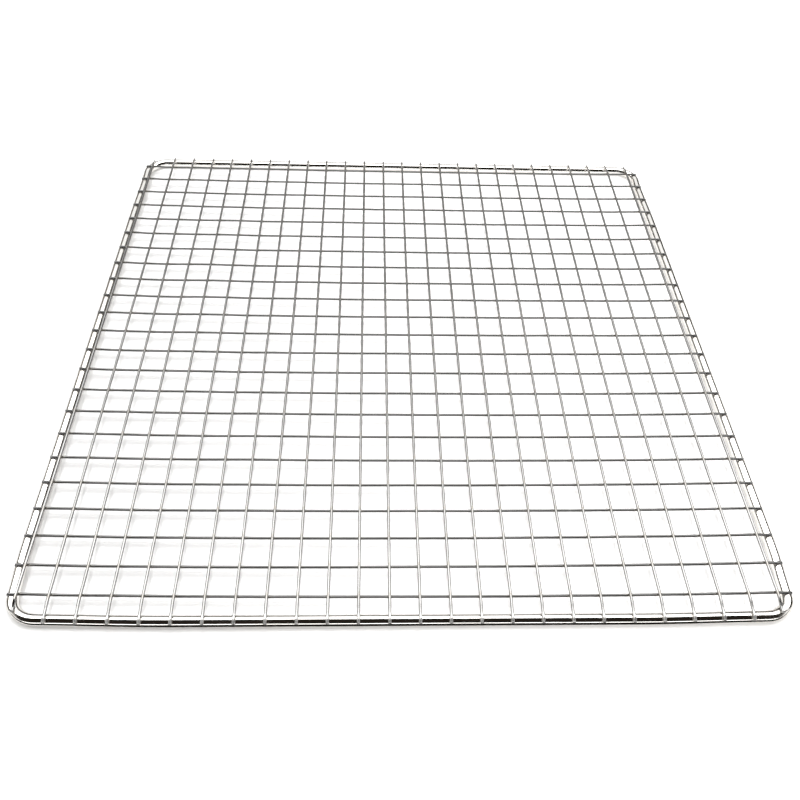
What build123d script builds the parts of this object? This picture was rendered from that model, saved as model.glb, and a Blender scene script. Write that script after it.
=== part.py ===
# Welded barbecue grill mesh: a round-cornered square frame bent from one steel rod,
# with a layer of cross wires and a layer of long wires welded over it.
import os
from math import radians, sqrt, tan

from build123d import *

os.makedirs("parts", exist_ok=True)

# Frame
outer_width = 400.0
outer_depth = 400.0
rod_dia = 6.0
corner_radius = 15.0

# Mesh
wire_dia = 1.5
long_pitch = 15.2
cross_pitch = 16.9
mesh_shift = -1.7
side_gap = 0.5

# Wire ends: how far they reach past the rod's middle, and how steeply the long ones dip to it
tip_reach = 2.4
ramp_angle = 14.0

# Heights of the centre lines above the surface the frame rests on
rod_level = rod_dia / 2
cross_level = rod_dia + wire_dia / 2
long_level = cross_level + wire_dia

# Rod centre line, and where its corner bends begin
half_x = (outer_width - rod_dia) / 2
half_y = (outer_depth - rod_dia) / 2
bend_x = half_x - corner_radius
bend_y = half_y - corner_radius

# Distance of a wire's centre line from the rod's where they are welded
contact = (rod_dia + wire_dia) / 2

# Run of the long wires' ends, from the level of the mesh down to the rod
slope = tan(radians(ramp_angle))
ramp_run = (long_level - rod_level - contact) / slope

# Long wires that fit the frame at their pitch, and where the first one lies
side_room = contact + side_gap
long_gaps = int(2 * (half_x - side_room - abs(mesh_shift)) / long_pitch)
first_x = mesh_shift - long_gaps * long_pitch / 2

# Cross wires that fit between the ramps of the outermost long wire, which the corner bends shorten
outermost_x = abs(mesh_shift) + long_gaps * long_pitch / 2
corner_drop = corner_radius - sqrt(corner_radius**2 - max(outermost_x - bend_x, 0) ** 2)
end_room = ramp_run + corner_drop + wire_dia / 2
cross_gaps = int(2 * (half_y - end_room) / cross_pitch)
first_y = cross_gaps * cross_pitch / 2

# Frame rod, closed by a butt weld in the middle of the back side
with BuildPart() as frame_rod:
    with BuildLine(Plane.XY.offset(rod_level)):
        Line((0, half_y), (bend_x, half_y))
        CenterArc((bend_x, bend_y), corner_radius, 90, -90)
        Line((half_x, bend_y), (half_x, -bend_y))
        CenterArc((bend_x, -bend_y), corner_radius, 0, -90)
        Line((bend_x, -half_y), (-bend_x, -half_y))
        CenterArc((-bend_x, -bend_y), corner_radius, 270, -90)
        Line((-half_x, -bend_y), (-half_x, bend_y))
        CenterArc((-bend_x, bend_y), corner_radius, 180, -90)
        Line((-bend_x, half_y), (0, half_y))
    with BuildSketch(Plane.YZ):
        with Locations((half_y, rod_level)):
            Circle(rod_dia / 2)
    sweep()
frame_rod.part.label = "frame_rod"
export_step(frame_rod.part, "parts/frame_rod.step")

# Cross wires, counted from the back: straight, lying on the side rods.
# The first and the last lie on the corner bends.
for row in range(cross_gaps + 1):
    y = first_y - row * cross_pitch
    past_bend = max(abs(y) - bend_y, 0)
    crest = bend_x + sqrt(corner_radius**2 - past_bend**2)
    tip = crest + tip_reach
    with BuildPart() as cross_wire:
        with BuildSketch(Plane.YZ.offset(-tip)):
            with Locations((y, cross_level)):
                Circle(wire_dia / 2)
        extrude(amount=2 * tip)
    cross_wire.part.label = f"cross_wire_{row + 1:02d}"
    export_step(cross_wire.part, f"parts/cross_wire_{row + 1:02d}.step")

# Long wires, counted from the left: on top of the cross wires, with ends that dip on to the
# front and back rods. The first and the last lie on the corner bends, which they cross at a skew.
for column in range(long_gaps + 1):
    x = first_x + column * long_pitch
    past_bend = max(abs(x) - bend_x, 0)
    crest = bend_y + sqrt(corner_radius**2 - past_bend**2)
    skew = (crest - bend_y) / corner_radius
    crest_level = rod_level + contact * sqrt(1 + (slope / skew) ** 2)
    ramp_start = crest - (long_level - crest_level) / slope
    tip = crest + tip_reach
    tip_level = crest_level - tip_reach * slope
    with BuildPart() as long_wire:
        with BuildLine(Plane.YZ.offset(x)):
            Polyline(
                (-tip, tip_level),
                (-ramp_start, long_level),
                (ramp_start, long_level),
                (tip, tip_level),
            )
        with BuildSketch(Plane((x, -tip, tip_level), x_dir=(1, 0, 0), z_dir=(0, 1, slope))):
            Circle(wire_dia / 2)
        sweep(transition=Transition.RIGHT)
    long_wire.part.label = f"long_wire_{column + 1:02d}"
    export_step(long_wire.part, f"parts/long_wire_{column + 1:02d}.step")
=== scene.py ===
"""Barbecue grill mesh: a smooth steel rod frame, drawn steel wires and their weld spots,
on a white floor."""
import math

import bpy
from mathutils import Matrix, Vector, noise


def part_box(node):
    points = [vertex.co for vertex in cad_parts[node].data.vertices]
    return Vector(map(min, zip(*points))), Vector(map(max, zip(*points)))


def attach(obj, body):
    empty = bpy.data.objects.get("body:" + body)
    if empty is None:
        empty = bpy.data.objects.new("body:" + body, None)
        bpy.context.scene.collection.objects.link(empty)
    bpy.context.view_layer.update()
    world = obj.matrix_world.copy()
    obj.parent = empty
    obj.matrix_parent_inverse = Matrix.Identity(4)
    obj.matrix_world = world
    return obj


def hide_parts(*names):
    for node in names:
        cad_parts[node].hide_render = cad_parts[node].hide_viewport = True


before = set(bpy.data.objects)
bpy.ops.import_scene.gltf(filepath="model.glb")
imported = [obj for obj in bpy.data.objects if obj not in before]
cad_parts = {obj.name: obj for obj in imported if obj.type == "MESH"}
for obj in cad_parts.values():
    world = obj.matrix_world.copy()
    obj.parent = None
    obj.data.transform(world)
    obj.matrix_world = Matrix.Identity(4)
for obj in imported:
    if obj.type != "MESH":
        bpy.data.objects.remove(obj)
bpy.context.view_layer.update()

MM = 0.001

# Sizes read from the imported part
LONG_NODES = sorted(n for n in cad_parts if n.startswith("long_wire"))
CROSS_NODES = sorted(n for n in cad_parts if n.startswith("cross_wire"))
ROD_LOW, ROD_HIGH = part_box("frame_rod")
ROD_RADIUS = (ROD_HIGH.z - ROD_LOW.z) / 2
ROD_LEVEL = ROD_LOW.z + ROD_RADIUS
ROD_TOP = ROD_LEVEL + ROD_RADIUS
HALF_X = ROD_HIGH.x - ROD_RADIUS
HALF_Y = ROD_HIGH.y - ROD_RADIUS
CORNER_RADIUS = 15.0 * MM
BEND_X = HALF_X - CORNER_RADIUS
BEND_Y = HALF_Y - CORNER_RADIUS


def node_middle(name):
    low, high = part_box(name)
    return (low + high) / 2


LONG_X = [node_middle(n).x for n in LONG_NODES]
CROSS_Y = [node_middle(n).y for n in CROSS_NODES]
LONG_PITCH = LONG_X[1] - LONG_X[0]
CROSS_PITCH = CROSS_Y[0] - CROSS_Y[1]
CROSS_LOW, CROSS_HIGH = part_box(CROSS_NODES[0])
WIRE_RADIUS = (CROSS_HIGH.z - CROSS_LOW.z) / 2
CROSS_LEVEL = node_middle(CROSS_NODES[0]).z
LONG_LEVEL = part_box(LONG_NODES[0])[1].z - WIRE_RADIUS

# Fineness of the round pieces
ROD_SIDES = 40
ROD_STEPS = 60
CORNER_STEPS = 14
WIRE_SIDES = 16
WALL_CORNERS = 4
STEPS_PER_GAP = 2
SIDE_TIP_STEPS = 5
FRONT_TIP_STEPS = 6
FRONT_RAMP_STEPS = 8
BACK_RAMP_STEPS = 12
BACK_TIP_STEPS = 4
MERGE_GAP = 0.002 * MM
CREASE_DEGREES = 40
WELD_CREASE_DEGREES = 60

# Wire ends: the cut face, the reach of the tips past the rod's crest, and where the ramps begin
CUT_INSET = 0.22 * MM
CUT_CROWN = 0.08 * MM
LEFT_TIP = 1.4 * MM
RIGHT_TIP = 0.9 * MM
FRONT_TIP = 2.8 * MM
BACK_TIP = 1.1 * MM
CORNER_TIP_SHARE = 0.4
TURN_LIMIT = 0.9
WELD_DEPTH = 0.35 * MM
FRONT_RAMP_START = 0.5 * MM
BACK_RAMP_START = 2.5 * MM

# How far the mesh has settled and how uneven its wires are
SEAT_LEVEL = ROD_TOP + WIRE_RADIUS
SEAT_DROP = LONG_LEVEL - SEAT_LEVEL
SIDE_RISE = 32.0 * MM
SIDE_DROP = 0.2 * MM
SAG = 0.3 * MM
BOWL_SHAPE = 0.7
ROD_HOLD = 8
RIPPLE = 0.22 * MM
RIPPLE_SHARE = 0.6
RIPPLE_LEFT_SHARE = 2.2
SWAY = 0.25 * MM
SPREAD = 0.0018
SPREAD_START = -100 * MM
BOW = 1.8 * MM
BOW_STILL = 0.8
FIRST_LEAN = 0.8 * MM
LAST_LEAN = 0.55 * MM
LAST_LEAN_STILL = 0.6
LEAN_RUN = 5 * MM

# Patterns of unevenness: fineness along X, fineness along Y, and the slice taken
RIPPLE_PATTERN = (34, 16, 1.7)
COLUMN_PATTERN = (61, 5, 8.3)
ROW_PATTERN = (5, 61, 4.9)

# How the side rods draw in beside the corner bends: depth, place, runs before and after it
FRONT_NIP = (1.15 * MM, 184.0 * MM, 26.0 * MM, 8.0 * MM)
BACK_NIP = (0.65 * MM, 171.0 * MM, 44.0 * MM, 19.0 * MM)

# How the front rod bends back towards its corners, and how far up the side rods that reaches
FRONT_BEND = 1.25 * MM
BEND_START = 115.0 * MM
BEND_RUN = 85.0 * MM
BEND_FADE = 0.5

# Share by which the right side draws in more and bends back less than the left
SKEW = 0.15

# Weld spots: an upright button, then its reach along X, Y and Z at each place
WELD_SIDES = 10
WELD_RADIUS = 0.8
WELD_HEIGHT = 0.7
WELD_INSET = 0.45
WELD_CROWN = 0.65
LEVEL_FACE = 0.9
MESH_WELD_REACH = (0.85 * MM, 0.85 * MM, 0.42 * MM)
SIDE_WELD_REACH = (0.95 * MM, 0.80 * MM, 0.30 * MM)
END_WELD_REACH = (0.80 * MM, 0.95 * MM, 0.30 * MM)


# Mesh building

def deselect_all():
    bpy.ops.object.select_all(action="DESELECT")


def take_up(piece):
    """Selects one piece alone, ready to be worked on."""
    deselect_all()
    piece.select_set(True)
    bpy.context.view_layer.objects.active = piece


def label(piece, name):
    piece.name = name
    piece.data.name = name


def start_ring(name, radius, sides, centre, axis):
    """A ring of edges at the start of a wire or rod, left in edit mode with all of it selected."""
    deselect_all()
    turn = (0, math.pi / 2, 0) if axis == "X" else (math.pi / 2, 0, 0)
    bpy.ops.mesh.primitive_circle_add(
        vertices=sides, radius=radius, fill_type="NOTHING", location=centre, rotation=turn
    )
    piece = bpy.context.object
    label(piece, name)
    bpy.ops.object.transform_apply(location=True, rotation=True, scale=True)
    bpy.ops.object.mode_set(mode="EDIT")
    bpy.ops.mesh.select_all(action="SELECT")
    return piece


def extrude_run(step, count):
    """Draws the selected ring out along a straight run in even steps."""
    part_step = tuple(c / count for c in step)
    for _ in range(count):
        bpy.ops.mesh.extrude_region_move(TRANSFORM_OT_translate={"value": part_step})


def close_up():
    """Merges doubled points and turns every face outwards; ends edit mode."""
    bpy.ops.mesh.select_all(action="SELECT")
    bpy.ops.mesh.remove_doubles(threshold=MERGE_GAP)
    bpy.ops.mesh.normals_make_consistent(inside=False)
    bpy.ops.object.mode_set(mode="OBJECT")


def smooth(piece, degrees=CREASE_DEGREES):
    take_up(piece)
    bpy.ops.object.shade_smooth_by_angle(angle=math.radians(degrees))


def cut_ends(piece):
    """Closes both ends of a wire with a slightly crowned cut face."""
    bpy.ops.mesh.select_all(action="SELECT")
    bpy.ops.mesh.fill_holes(sides=0)
    bpy.ops.mesh.normals_make_consistent(inside=False)
    bpy.ops.object.mode_set(mode="OBJECT")
    for face in piece.data.polygons:
        face.select = len(face.vertices) > WALL_CORNERS
    for edge in piece.data.edges:
        edge.select = False
    for point in piece.data.vertices:
        point.select = False
    for face in piece.data.polygons:
        if face.select:
            for index in face.vertices:
                piece.data.vertices[index].select = True
    bpy.ops.object.mode_set(mode="EDIT")
    bpy.ops.mesh.select_mode(type="FACE")
    bpy.ops.mesh.inset(thickness=CUT_INSET, depth=CUT_CROWN)
    bpy.ops.mesh.select_mode(type="VERT")


# Settling: the same small shift for wires and welds, so that they stay together

def edge_fade(value, half):
    """1 in the middle of the mesh, 0 at the rod."""
    share = min(abs(value) / half, 1.0)
    return 1.0 - share * share


def ease(share):
    """A soft rise from 0 to 1."""
    share = min(max(share, 0.0), 1.0)
    return share * share * (3 - 2 * share)


def unevenness(x, y, pattern):
    """A smooth wander between -1 and 1."""
    fine_x, fine_y, taken = pattern
    return noise.noise(Vector((x * fine_x, y * fine_y, taken)))


def settle(point, sideways=True, endways=True):
    """Moves a point as the welded mesh has settled: a shallow bowl, uneven columns (X) and
    bowed rows (Y)."""
    x, y = point.x, point.y
    middle_x, middle_y = edge_fade(x, HALF_X), edge_fade(y, HALF_Y)
    bowl = middle_x**BOWL_SHAPE * middle_y**BOWL_SHAPE
    near_rod = min(1.0, ROD_HOLD * middle_x) * min(1.0, ROD_HOLD * middle_y)
    left_share = RIPPLE_SHARE + RIPPLE_LEFT_SHARE * max(0.0, -x / HALF_X)
    ripple = RIPPLE * (unevenness(x, y, RIPPLE_PATTERN) - 1) * left_share
    side_drop = SIDE_DROP * ease((HALF_X - abs(x)) / SIDE_RISE)
    point.z += near_rod * (ripple - side_drop) - SAG * bowl
    if sideways:
        point.x += SWAY * unevenness(x, y, COLUMN_PATTERN) + SPREAD * (x - SPREAD_START)
        point.x -= FIRST_LEAN * ease(1 - abs(x - LONG_X[0]) / LEAN_RUN)
    if endways:
        point.y += SWAY * unevenness(x, y, ROW_PATTERN) - BOW * (middle_x - BOW_STILL)
        lean = LAST_LEAN * (LAST_LEAN_STILL - x / HALF_X)
        point.y += lean * ease(1 - abs(y - CROSS_Y[-1]) / LEAN_RUN)


def turn_down(past):
    """Fall of a wire end that follows the round of the rod past its crest."""
    bend = ROD_RADIUS + WIRE_RADIUS
    past = min(max(past, 0.0), TURN_LIMIT * bend)
    return bend - math.sqrt(bend * bend - past * past)


def nip(x, y):
    """How far a side rod draws in beside the corner bend."""
    depth, place, before, after = FRONT_NIP if y < 0 else BACK_NIP
    past = abs(y) - place
    run = after if past > 0 else before
    return depth * (1 + SKEW * x / HALF_X) * ease(1 - abs(past) / run)


def front_bend(x):
    """How far the front rod lies back at this distance from the middle."""
    return FRONT_BEND * (1 - SKEW * x / HALF_X) * ease((abs(x) - BEND_START) / BEND_RUN)


def bend_rod(piece):
    """Bends a rod, or the welds on it, out of square as the real frame is."""
    for vertex in piece.data.vertices:
        point = vertex.co
        at_front = ease((-point.y / HALF_Y - BEND_FADE) / (1 - BEND_FADE))
        bend = front_bend(point.x) * at_front
        point.x -= math.copysign(nip(point.x, point.y), point.x)
        point.y += bend


def sway_piece(piece, **ways):
    """The same shift for welds that keep the rod's level."""
    for vertex in piece.data.vertices:
        level = vertex.co.z
        settle(vertex.co, **ways)
        vertex.co.z = level


# The frame rod

def make_frame_rod():
    """One rod: from the butt weld in the middle of the back side, round the four corners and
    back to it."""
    start = (0, HALF_Y, ROD_LEVEL)
    rod = start_ring("frame_rod_bent", ROD_RADIUS, ROD_SIDES, start, "X")
    corners = [
        ((BEND_X, BEND_Y), (BEND_X, 0, 0)),
        ((BEND_X, -BEND_Y), (0, -2 * BEND_Y, 0)),
        ((-BEND_X, -BEND_Y), (-2 * BEND_X, 0, 0)),
        ((-BEND_X, BEND_Y), (0, 2 * BEND_Y, 0)),
    ]
    for (x, y), run in corners:
        extrude_run(run, ROD_STEPS)
        bpy.ops.mesh.spin(
            steps=CORNER_STEPS, angle=math.pi / 2, center=(x, y, ROD_LEVEL), axis=(0, 0, 1)
        )
    extrude_run((BEND_X, 0, 0), ROD_STEPS)
    close_up()
    bend_rod(rod)
    smooth(rod)
    return rod


# The wires

def make_cross_wire():
    """A straight wire along X through the frame's middle, reaching past the crests of the
    side rods."""
    start = (-HALF_X - LEFT_TIP, 0, CROSS_LEVEL)
    wire = start_ring("cross_wire_master", WIRE_RADIUS, WIRE_SIDES, start, "X")
    extrude_run((LEFT_TIP, 0, 0), SIDE_TIP_STEPS)
    extrude_run((2 * HALF_X, 0, 0), STEPS_PER_GAP * len(LONG_NODES))
    extrude_run((RIGHT_TIP, 0, 0), SIDE_TIP_STEPS)
    cut_ends(wire)
    close_up()
    return wire


def make_long_wire():
    """A straight wire along Y through the frame's middle, reaching past the crests of the
    front and back rods."""
    start = (0, -HALF_Y - FRONT_TIP, LONG_LEVEL)
    wire = start_ring("long_wire_master", WIRE_RADIUS, WIRE_SIDES, start, "Y")
    last_gap = HALF_Y - CROSS_Y[0]
    extrude_run((0, FRONT_TIP, 0), FRONT_TIP_STEPS)
    extrude_run((0, last_gap, 0), FRONT_RAMP_STEPS)
    extrude_run((0, 2 * CROSS_Y[0], 0), STEPS_PER_GAP * len(CROSS_NODES))
    extrude_run((0, last_gap, 0), BACK_RAMP_STEPS)
    extrude_run((0, BACK_TIP, 0), BACK_TIP_STEPS)
    cut_ends(wire)
    close_up()
    return wire


def copy_piece(master, name):
    piece = master.copy()
    piece.data = master.data.copy()
    label(piece, name)
    bpy.context.scene.collection.objects.link(piece)
    return piece


def crest_of(across, bend, half):
    """Where the rod's crest lies for a wire at this distance from the middle, corner bends
    included."""
    past_bend = max(0.0, abs(across) - bend)
    return half - CORNER_RADIUS + math.sqrt(CORNER_RADIUS**2 - past_bend**2)


def lay_cross_wires(master):
    """One wire for each row, its tips turned down over the side rods and set into them."""
    wires = []
    for node, y in zip(CROSS_NODES, CROSS_Y):
        wire = copy_piece(master, node + "_drawn")
        crest = crest_of(y, BEND_Y, HALF_X)
        for vertex in wire.data.vertices:
            point = vertex.co
            point.x *= crest / HALF_X
            point.y += y
            past = abs(point.x) + nip(point.x, y) - crest
            settle(point, sideways=False)
            point.z -= turn_down(past) + WELD_DEPTH * ease(1 + past / ROD_RADIUS)
        wires.append((wire, node))
    return wires


def lay_long_wires(master):
    """One wire for each column, led down from the last cross wire to the rod and turned down
    over it."""
    wires = []
    last_row = CROSS_Y[0]
    for node, x in zip(LONG_NODES, LONG_X):
        wire = copy_piece(master, node + "_drawn")
        back_crest = crest_of(x, BEND_X, HALF_Y)
        for vertex in wire.data.vertices:
            point = vertex.co
            point.x += x
            crest = back_crest if point.y > 0 else back_crest - front_bend(x)
            reach = abs(point.y)
            reach -= (HALF_Y - crest) * ease((reach - last_row) / (crest - last_row))
            if reach > crest and abs(x) > BEND_X:
                reach = crest + CORNER_TIP_SHARE * (reach - crest)
            point.y = math.copysign(reach, point.y)
            ramp_start = last_row + (FRONT_RAMP_START if point.y < 0 else BACK_RAMP_START)
            led = SEAT_DROP * ease((reach - ramp_start) / (crest - ramp_start))
            settle(point, endways=False)
            point.z -= led + turn_down(reach - crest)
        wires.append((wire, node))
    return wires


# Weld spots

def make_weld_spot(name, centre, reach):
    """A bead of melted steel in the crevice between two wires: a squat button with a drawn-in
    top and bottom."""
    deselect_all()
    bpy.ops.mesh.primitive_cylinder_add(
        vertices=WELD_SIDES,
        radius=WELD_RADIUS,
        depth=WELD_HEIGHT,
        end_fill_type="NGON",
        location=centre,
    )
    spot = bpy.context.object
    label(spot, name)
    bpy.ops.object.mode_set(mode="EDIT")
    bpy.ops.mesh.select_mode(type="FACE")
    bpy.ops.mesh.select_all(action="DESELECT")
    bpy.ops.object.mode_set(mode="OBJECT")
    for face in spot.data.polygons:
        face.select = abs(face.normal.z) > LEVEL_FACE
    bpy.ops.object.mode_set(mode="EDIT")
    bpy.ops.mesh.inset(thickness=WELD_INSET, depth=WELD_CROWN)
    bpy.ops.mesh.select_all(action="SELECT")
    bpy.ops.transform.resize(value=reach)
    bpy.ops.mesh.normals_make_consistent(inside=False)
    bpy.ops.object.mode_set(mode="OBJECT")
    bpy.ops.object.transform_apply(location=True, rotation=True, scale=True)
    return spot


def repeat(piece, count, step):
    take_up(piece)
    array = piece.modifiers.new("pattern", "ARRAY")
    array.count = count
    array.use_relative_offset = False
    array.use_constant_offset = True
    array.constant_offset_displace = step
    bpy.ops.object.modifier_apply(modifier=array.name)


def make_mesh_welds():
    """Welds where the long wires cross the cross wires."""
    contact = (CROSS_LEVEL + LONG_LEVEL) / 2
    spots = make_weld_spot("mesh_welds", (LONG_X[0], CROSS_Y[0], contact), MESH_WELD_REACH)
    repeat(spots, len(LONG_X), (LONG_PITCH, 0, 0))
    repeat(spots, len(CROSS_Y), (0, -CROSS_PITCH, 0))
    for vertex in spots.data.vertices:
        settle(vertex.co)
    smooth(spots, WELD_CREASE_DEGREES)
    return spots


def make_side_welds(side):
    """Welds of the cross wires on the left (-1) or right (+1) rod, without the two rows on the
    corner bends."""
    name = "left_rod_welds" if side < 0 else "right_rod_welds"
    spots = make_weld_spot(name, (side * HALF_X, CROSS_Y[1], ROD_TOP), SIDE_WELD_REACH)
    repeat(spots, len(CROSS_Y) - 2, (0, -CROSS_PITCH, 0))
    bend_rod(spots)
    sway_piece(spots, sideways=False)
    smooth(spots, WELD_CREASE_DEGREES)
    return spots


def make_end_welds(side):
    """Welds of the long wires on the front (-1) or back (+1) rod, without the two columns on
    the corner bends."""
    name = "front_rod_welds" if side < 0 else "back_rod_welds"
    spots = make_weld_spot(name, (LONG_X[1], side * HALF_Y, ROD_TOP), END_WELD_REACH)
    repeat(spots, len(LONG_X) - 2, (LONG_PITCH, 0, 0))
    bend_rod(spots)
    sway_piece(spots, endways=False)
    smooth(spots, WELD_CREASE_DEGREES)
    return spots


# Node building

def feed(tree, value, socket):
    """Sets a socket to a plain value, or links an output to it."""
    if isinstance(value, (int, float, tuple)):
        socket.default_value = value
    else:
        tree.links.new(value, socket)


def set_inputs(node, values):
    for key, value in values.items():
        node.inputs[key].default_value = value


def math_node(tree, operation, *values):
    node = tree.nodes.new("ShaderNodeMath")
    node.operation = operation
    for socket, value in zip(node.inputs, values):
        feed(tree, value, socket)
    return node.outputs[0]


def ramp(tree, value, low, high, start=0.0, end=1.0, soft=False):
    """Carries a value over from the range low to high to the range start to end."""
    node = tree.nodes.new("ShaderNodeMapRange")
    if soft:
        node.interpolation_type = "SMOOTHSTEP"
    feed(tree, value, node.inputs["Value"])
    feed(tree, low, node.inputs["From Min"])
    feed(tree, high, node.inputs["From Max"])
    feed(tree, start, node.inputs["To Min"])
    feed(tree, end, node.inputs["To Max"])
    return node.outputs["Result"]


def mix_colour(tree, factor, first, second):
    node = tree.nodes.new("ShaderNodeMix")
    node.data_type = "RGBA"
    feed(tree, factor, node.inputs[0])
    feed(tree, first, node.inputs[6])
    feed(tree, second, node.inputs[7])
    return node.outputs[2]


def new_group(name, inputs, outputs):
    tree = bpy.data.node_groups.new(name, "ShaderNodeTree")
    for title, kind, default in inputs:
        socket = tree.interface.new_socket(title, in_out="INPUT", socket_type=kind)
        socket.default_value = default
    for title in outputs:
        tree.interface.new_socket(title, in_out="OUTPUT", socket_type="NodeSocketFloat")
    return tree, tree.nodes.new("NodeGroupInput"), tree.nodes.new("NodeGroupOutput")


def place_group(tree, group, **values):
    node = tree.nodes.new("ShaderNodeGroup")
    node.node_tree = group
    set_inputs(node, values)
    return node


# Materials

ROD_TONES = ((0.93, 0.91, 0.88, 1.0), (0.88, 0.85, 0.80, 1.0))
# Painted shade: both kinds of wire are the same drawn steel, their tones darkened so that the
# wires read as dark lines, the cross wires more than the long wires; the weld spots take the long
# wires' darkened tones.
CROSS_SHADED_TONES = ((0.21, 0.208, 0.205, 1.0), (0.175, 0.173, 0.17, 1.0))
LONG_SHADED_TONES = ((0.325, 0.322, 0.317, 1.0), (0.273, 0.27, 0.264, 1.0))
# Painted highlight: the pale tone of the long wires' ends over the rods.
END_HIGHLIGHT_TONE = (0.88, 0.87, 0.85, 1.0)
EDGE_TONE = (0.55, 0.55, 0.55, 1.0)
HEAT_STRAW = (0.33, 0.29, 0.23, 1.0)
HEAT_BROWN = (0.20, 0.17, 0.145, 1.0)
HEAT_REACH = 3.0 * MM
HEAT_MOTTLE = 0.3
HEAT_CORE_POWER = 4.0
HEAT_CORE_SHARE = 0.6
HEAT_DULLS = 0.10
END_DULLS = 0.27
FILM_RANGE = (0.42, 0.68)
FILM_SHARE = 0.6
LINE_DULLS = 0.10
LINE_STRENGTH = 0.25


def make_weld_heat_group():
    """Mask that is 1 at evenly spaced welds along one coordinate and fades out over Reach."""
    tree, source, sink = new_group(
        "weld_heat",
        [
            ("Coordinate", "NodeSocketFloat", 0.0),
            ("First", "NodeSocketFloat", 0.0),
            ("Pitch", "NodeSocketFloat", 0.015),
            ("Reach", "NodeSocketFloat", 0.003),
        ],
        ["Mask"],
    )
    offset = math_node(tree, "SUBTRACT", source.outputs["Coordinate"], source.outputs["First"])
    half_pitch = math_node(tree, "MULTIPLY", source.outputs["Pitch"], 0.5)
    distance = math_node(tree, "PINGPONG", offset, half_pitch)
    mask = ramp(tree, distance, 0.0, source.outputs["Reach"], 1.0, 0.0, soft=True)
    feed(tree, mask, sink.inputs["Mask"])
    return tree


def make_drawn_steel_group():
    """Fine lines left by drawing, and the dull film of handling: height, roughness and film."""
    tree, source, sink = new_group(
        "drawn_steel",
        [
            ("Vector", "NodeSocketVector", (0, 0, 0)),
            ("Stretch", "NodeSocketVector", (1, 1, 1)),
            ("Bright", "NodeSocketFloat", 0.12),
            ("Dull", "NodeSocketFloat", 0.25),
        ],
        ["Height", "Roughness", "Film"],
    )
    stretched = tree.nodes.new("ShaderNodeVectorMath")
    stretched.operation = "MULTIPLY"
    feed(tree, source.outputs["Vector"], stretched.inputs[0])
    feed(tree, source.outputs["Stretch"], stretched.inputs[1])
    lines = tree.nodes.new("ShaderNodeTexNoise")
    set_inputs(lines, {"Scale": 1.0, "Detail": 4.0, "Roughness": 0.6})
    feed(tree, stretched.outputs[0], lines.inputs["Vector"])
    film = tree.nodes.new("ShaderNodeTexNoise")
    set_inputs(film, {"Scale": 46.0, "Detail": 5.0})
    feed(tree, source.outputs["Vector"], film.inputs["Vector"])
    patches = ramp(tree, film.outputs["Fac"], *FILM_RANGE)
    dullness = ramp(tree, patches, 0.0, 1.0, source.outputs["Bright"], source.outputs["Dull"])
    above_mean = math_node(tree, "SUBTRACT", lines.outputs["Fac"], 0.5)
    uneven = math_node(tree, "MULTIPLY", above_mean, LINE_DULLS)
    feed(tree, math_node(tree, "ADD", dullness, uneven), sink.inputs["Roughness"])
    feed(tree, lines.outputs["Fac"], sink.inputs["Height"])
    feed(tree, patches, sink.inputs["Film"])
    return tree


def rod_heat(tree, split, end_mask, side_mask):
    """Heat of the rod's welds, front and back or left and right, on its upper half."""
    beyond_x = math_node(tree, "ABSOLUTE", split.outputs["X"])
    beyond_y = math_node(tree, "ABSOLUTE", split.outputs["Y"])
    on_sides = math_node(tree, "GREATER_THAN", beyond_x, beyond_y)
    pick = tree.nodes.new("ShaderNodeMix")
    feed(tree, on_sides, pick.inputs[0])
    feed(tree, end_mask, pick.inputs[2])
    feed(tree, side_mask, pick.inputs[3])
    upper = ramp(tree, split.outputs["Z"], ROD_LEVEL, ROD_TOP)
    return math_node(tree, "MULTIPLY", pick.outputs[0], upper)


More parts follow.
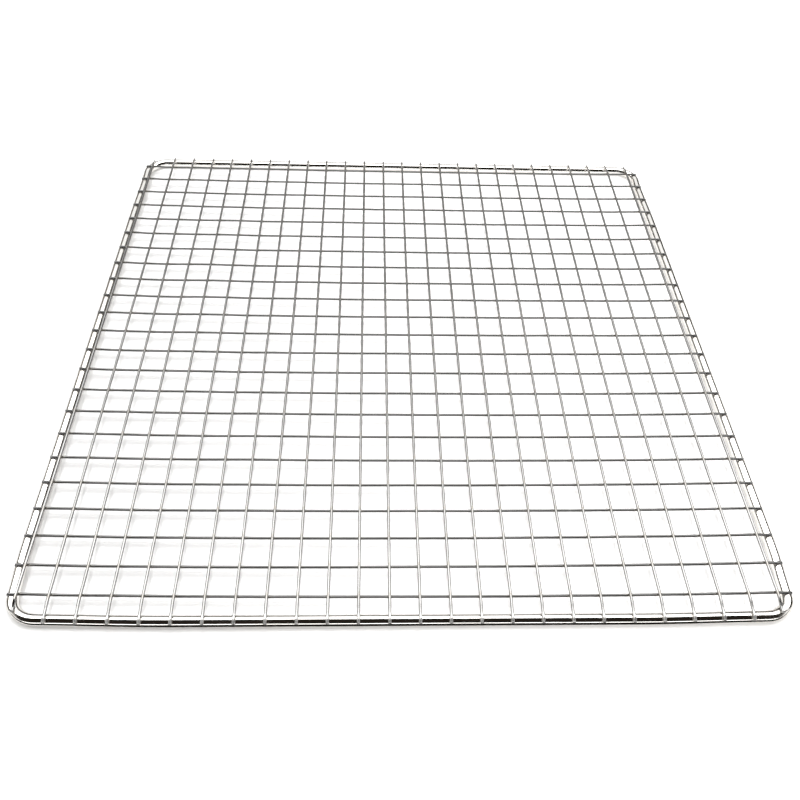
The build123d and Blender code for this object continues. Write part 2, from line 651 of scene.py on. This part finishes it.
def make_steel(
    name, tones, stretch, welds, bright, dull, heat_strength, line_depth, painted_end_highlight=None
):
    """Bright steel in the given tones, with drawing lines, a patchy film and straw-brown heat tint
    at its welds;
    painted_end_highlight gives the shift, start and full reach of a painted highlight, a pale tone
    on the wire ends over the rods."""
    material = bpy.data.materials.new(name)
    material.use_nodes = True
    tree = material.node_tree
    steel = tree.nodes["Principled BSDF"]
    set_inputs(steel, {"Metallic": 1.0, "Specular Tint": EDGE_TONE})
    place = tree.nodes.new("ShaderNodeTexCoord")
    surface = place_group(tree, drawn_steel, Stretch=stretch, Bright=bright, Dull=dull)
    feed(tree, place.outputs["Object"], surface.inputs["Vector"])
    split = tree.nodes.new("ShaderNodeSeparateXYZ")
    feed(tree, place.outputs["Object"], split.inputs[0])
    masks = []
    for axis, first, pitch, reach in welds:
        heat = place_group(tree, weld_heat, First=first, Pitch=pitch, Reach=reach)
        feed(tree, split.outputs[axis], heat.inputs["Coordinate"])
        masks.append(heat.outputs["Mask"])
    mask = rod_heat(tree, split, *masks) if len(masks) == 2 else masks[0]

    filmed = math_node(tree, "MULTIPLY", surface.outputs["Film"], FILM_SHARE)
    plain = mix_colour(tree, filmed, tones[0], tones[1])
    heat_dulls = math_node(tree, "MULTIPLY", mask, HEAT_DULLS)
    roughness = math_node(tree, "ADD", surface.outputs["Roughness"], heat_dulls)
    # Painted highlight: the ends over the rods take the pale end tone; the front ends are also
    # rougher.
    if painted_end_highlight:
        shift, start, full = painted_end_highlight
        along = math_node(tree, "ABSOLUTE", math_node(tree, "ADD", split.outputs["Y"], shift))
        end_highlight = ramp(tree, along, start, full, soft=True)
        plain = mix_colour(tree, end_highlight, plain, END_HIGHLIGHT_TONE)
        at_front = math_node(tree, "LESS_THAN", split.outputs["Y"], 0.0)
        matt = math_node(tree, "MULTIPLY", end_highlight, at_front)
        end_dulls = math_node(tree, "MULTIPLY", matt, END_DULLS)
        roughness = math_node(tree, "ADD", roughness, end_dulls)

    mottle = math_node(tree, "ADD", surface.outputs["Height"], HEAT_MOTTLE)
    mottled = math_node(tree, "MULTIPLY", mask, mottle)
    tint = math_node(tree, "MULTIPLY", mottled, heat_strength)
    straw = mix_colour(tree, tint, plain, HEAT_STRAW)
    core = math_node(tree, "POWER", mask, HEAT_CORE_POWER)
    core = math_node(tree, "MULTIPLY", core, heat_strength * HEAT_CORE_SHARE)
    feed(tree, mix_colour(tree, core, straw, HEAT_BROWN), steel.inputs["Base Color"])
    feed(tree, roughness, steel.inputs["Roughness"])
    bump = tree.nodes.new("ShaderNodeBump")
    set_inputs(bump, {"Strength": LINE_STRENGTH, "Distance": line_depth})
    feed(tree, surface.outputs["Height"], bump.inputs["Height"])
    feed(tree, bump.outputs["Normal"], steel.inputs["Normal"])
    return material


drawn_steel = make_drawn_steel_group()
weld_heat = make_weld_heat_group()
ALONG_X = ("X", LONG_X[0], LONG_PITCH, HEAT_REACH)
ALONG_Y = ("Y", CROSS_Y[-1], CROSS_PITCH, HEAT_REACH)
frame_steel = make_steel(
    "frame_steel_bright",
    ROD_TONES,
    stretch=(260, 260, 900),
    welds=[ALONG_X, ALONG_Y],
    bright=0.08,
    dull=0.17,
    heat_strength=0.35,
    line_depth=0.02 * MM,
)
cross_steel = make_steel(
    "cross_wire_steel",
    CROSS_SHADED_TONES,
    stretch=(60, 2600, 2600),
    welds=[ALONG_X],
    bright=0.10,
    dull=0.20,
    heat_strength=0.3,
    line_depth=0.012 * MM,
)
long_steel = make_steel(
    "long_wire_steel",
    LONG_SHADED_TONES,
    stretch=(2600, 60, 2600),
    welds=[ALONG_Y],
    bright=0.10,
    dull=0.20,
    heat_strength=0.3,
    line_depth=0.012 * MM,
    # Painted highlight on the long wires' ends over the rods.
    painted_end_highlight=(3.5 * MM, 191.0 * MM, 194.5 * MM),
)
weld_steel = make_steel(
    "weld_spot_steel",
    LONG_SHADED_TONES,
    stretch=(900, 900, 900),
    welds=[ALONG_X],
    bright=0.18,
    dull=0.34,
    heat_strength=0.5,
    line_depth=0.03 * MM,
)


def finish_piece(piece, material, nodes=()):
    piece.data.materials.clear()
    piece.data.materials.append(material)
    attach(piece, "root")
    if nodes:
        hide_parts(*nodes)


finish_piece(make_frame_rod(), frame_steel, ["frame_rod"])
cross_master = make_cross_wire()
for wire, node in lay_cross_wires(cross_master):
    smooth(wire)
    finish_piece(wire, cross_steel, [node])
bpy.data.objects.remove(cross_master)
long_master = make_long_wire()
for wire, node in lay_long_wires(long_master):
    smooth(wire)
    finish_piece(wire, long_steel, [node])
bpy.data.objects.remove(long_master)
finish_piece(make_mesh_welds(), weld_steel)
for side in (-1, 1):
    finish_piece(make_side_welds(side), weld_steel)
    finish_piece(make_end_welds(side), weld_steel)


# Stage: white floor, soft lamps, and dark cards that only the metal reflects

FLOOR_SIZE = 14.0
FLOOR_TONE = (0.74, 0.74, 0.74, 1)
# Painted light: the floor's glow, seen only by camera and mirror rays, is graded brighter from
# left to right.
FLOOR_GLOW = (1.0, 0.98, 0.955, 1)
GLOW_LEFT = 0.24
GLOW_RIGHT = 0.44
BACKDROP_START = 0.5
BACKDROP_FULL = 1.3
ROOM_LIGHT = 0.05

# Felt of the cards
RIGHT_FELT = (0.03, 0.026, 0.022, 1)
LEFT_FELT = (0.12, 0.11, 0.095, 1)
FRONT_FELT = (0.016, 0.013, 0.010, 1)
BACK_FELT = (0.045, 0.034, 0.024, 1)
FLAG_FELT = (0.02, 0.018, 0.016, 1)
SIDE_CARD_HEIGHT = 1.75
SIDE_CARD_LIFT = 0.05
SIDE_CARD_SKEW = 0.15


def blank_material(name):
    material = bpy.data.materials.new(name)
    material.use_nodes = True
    material.node_tree.nodes.clear()
    return material, material.node_tree


def seen_directly(tree):
    """1 where the camera looks, mirrored or not, and 0 for light that falls on other things."""
    rays = tree.nodes.new("ShaderNodeLightPath")
    seen = math_node(tree, "MAXIMUM", rays.outputs["Is Camera Ray"], rays.outputs["Is Glossy Ray"])
    return math_node(tree, "MAXIMUM", seen, rays.outputs["Is Transmission Ray"])


def make_floor():
    """White paper with painted light: a glow that only camera and mirror rays see, graded brighter
    from left to right, that runs out into a white backdrop.
    """
    deselect_all()
    bpy.ops.mesh.primitive_plane_add(size=FLOOR_SIZE, location=(0, 0, 0))
    floor = bpy.context.object
    floor.name = "floor"
    material, tree = blank_material("floor_white")
    seen = seen_directly(tree)
    place = tree.nodes.new("ShaderNodeTexCoord")
    split = tree.nodes.new("ShaderNodeSeparateXYZ")
    feed(tree, place.outputs["Object"], split.inputs[0])
    paper = tree.nodes.new("ShaderNodeBsdfDiffuse")
    paper.inputs["Color"].default_value = FLOOR_TONE
    glow = tree.nodes.new("ShaderNodeEmission")
    glow.inputs["Color"].default_value = FLOOR_GLOW
    painted_light_grade = ramp(tree, split.outputs["X"], -HALF_X, HALF_X / 2, GLOW_LEFT, GLOW_RIGHT)
    feed(tree, math_node(tree, "MULTIPLY", seen, painted_light_grade), glow.inputs["Strength"])
    glowing_paper = tree.nodes.new("ShaderNodeAddShader")
    feed(tree, paper.outputs[0], glowing_paper.inputs[0])
    feed(tree, glow.outputs[0], glowing_paper.inputs[1])
    backdrop = tree.nodes.new("ShaderNodeEmission")
    reach = tree.nodes.new("ShaderNodeVectorMath")
    reach.operation = "LENGTH"
    feed(tree, place.outputs["Object"], reach.inputs[0])
    far = ramp(tree, reach.outputs["Value"], BACKDROP_START, BACKDROP_FULL, soft=True)
    sweep = tree.nodes.new("ShaderNodeMixShader")
    feed(tree, math_node(tree, "MULTIPLY", far, seen), sweep.inputs[0])
    feed(tree, glowing_paper.outputs[0], sweep.inputs[1])
    feed(tree, backdrop.outputs[0], sweep.inputs[2])
    out = tree.nodes.new("ShaderNodeOutputMaterial")
    feed(tree, sweep.outputs[0], out.inputs["Surface"])
    floor.data.materials.append(material)


def facing(place):
    """The turn of something at this place that looks at the middle of the mesh."""
    return (-Vector(place)).to_track_quat("-Z", "Y").to_euler()


def add_softbox(name, place, size, radiance, mirrored=True):
    bpy.ops.object.light_add(type="AREA", location=place, rotation=facing(place))
    lamp = bpy.context.object
    lamp.name = name
    lamp.data.shape = "RECTANGLE"
    lamp.data.size, lamp.data.size_y = size
    lamp.data.energy = radiance * math.pi * size[0] * size[1]
    lamp.visible_camera = False
    lamp.visible_glossy = mirrored


def add_card(name, place, size, felt, flat=False):
    """A dark card that shows only in the metal's reflections."""
    deselect_all()
    turn = (0, 0, 0) if flat else facing(place)
    bpy.ops.mesh.primitive_plane_add(size=1.0, location=place, rotation=turn)
    card = bpy.context.object
    card.name = name
    card.scale = (size[0], size[1], 1)
    bpy.ops.object.transform_apply(location=True, rotation=True, scale=True)
    material, tree = blank_material(name)
    face = tree.nodes.new("ShaderNodeEmission")
    face.inputs["Color"].default_value = felt
    out = tree.nodes.new("ShaderNodeOutputMaterial")
    feed(tree, face.outputs[0], out.inputs["Surface"])
    card.data.materials.append(material)
    card.visible_camera = False
    card.visible_diffuse = False
    card.visible_shadow = False


def around(distance, degrees):
    """A place in the YZ plane: 0 degrees is level in front, 90 overhead, 180 level behind."""
    angle = math.radians(degrees)
    return (0, -distance * math.cos(angle), distance * math.sin(angle))


def make_world():
    world = bpy.data.worlds.new("white_room")
    bpy.context.scene.world = world
    world.use_nodes = True
    tree = world.node_tree
    tree.nodes.clear()
    level = ramp(tree, seen_directly(tree), 0.0, 1.0, ROOM_LIGHT, 1.0)
    sky = tree.nodes.new("ShaderNodeBackground")
    sky.inputs["Color"].default_value = (1, 1, 1, 1)
    feed(tree, level, sky.inputs["Strength"])
    out = tree.nodes.new("ShaderNodeOutputWorld")
    feed(tree, sky.outputs[0], out.inputs["Surface"])


make_floor()
make_world()
add_softbox("overhead_softbox", around(2.4, 103.5), size=(4.2, 1.8), radiance=2.5)
add_softbox("back_softbox", around(2.4, 130), size=(4.4, 0.6), radiance=1.3)
add_softbox("front_strip", around(3.0, 4), size=(6.0, 0.65), radiance=1.5)
for degrees in (82, 102):
    lamp_place = around(2.6, degrees)
    add_softbox("ceiling_lamp", lamp_place, size=(0.25, 0.25), radiance=70, mirrored=False)
for side in (-1, 1):
    add_softbox("side_softbox", (side * 2.5, 0.67, 2.3), size=(2.4, 1.2), radiance=1.9)
    height = SIDE_CARD_HEIGHT + side * SIDE_CARD_SKEW
    card_place = (side * 2.7, 1.2, SIDE_CARD_LIFT + height / 2)
    side_felt = RIGHT_FELT if side > 0 else LEFT_FELT
    add_card("side_card", card_place, size=(4.2, height), felt=side_felt)
add_card("front_card", around(1.074, 49.2), size=(3.4, 1.68), felt=FRONT_FELT)
add_card("low_back_card", around(3.0, 166.5), size=(7.1, 1.44), felt=BACK_FELT)
add_card("front_flag", (0, -0.951, 1.0 * MM), size=(4.0, 1.5), felt=FLAG_FELT, flat=True)

# Camera, as the photograph was taken
CAMERA_PLACE = Vector((-20.37, -367.38, 370.83)) * MM
CAMERA_FORWARD = Vector((0.04048, 0.64845, -0.76018))
CAMERA_UP = Vector((-0.00572, 0.76062, 0.64917))
CAMERA_NEAR = 0.01
FOCAL_PIXELS = 789.1
PHOTO_PIXELS = 800
SENSOR = 36.0

bpy.ops.object.camera_add()
camera = bpy.context.object
back = -CAMERA_FORWARD.normalized()
right = CAMERA_UP.cross(back).normalized()
up = back.cross(right)
turn = Matrix((right, up, back)).transposed().to_4x4()
camera.matrix_world = Matrix.Translation(CAMERA_PLACE) @ turn
camera.data.sensor_width = SENSOR
camera.data.lens = SENSOR * FOCAL_PIXELS / PHOTO_PIXELS
camera.data.clip_start = CAMERA_NEAR
bpy.context.scene.camera = camera
bpy.context.scene.view_settings.view_transform = "Standard"
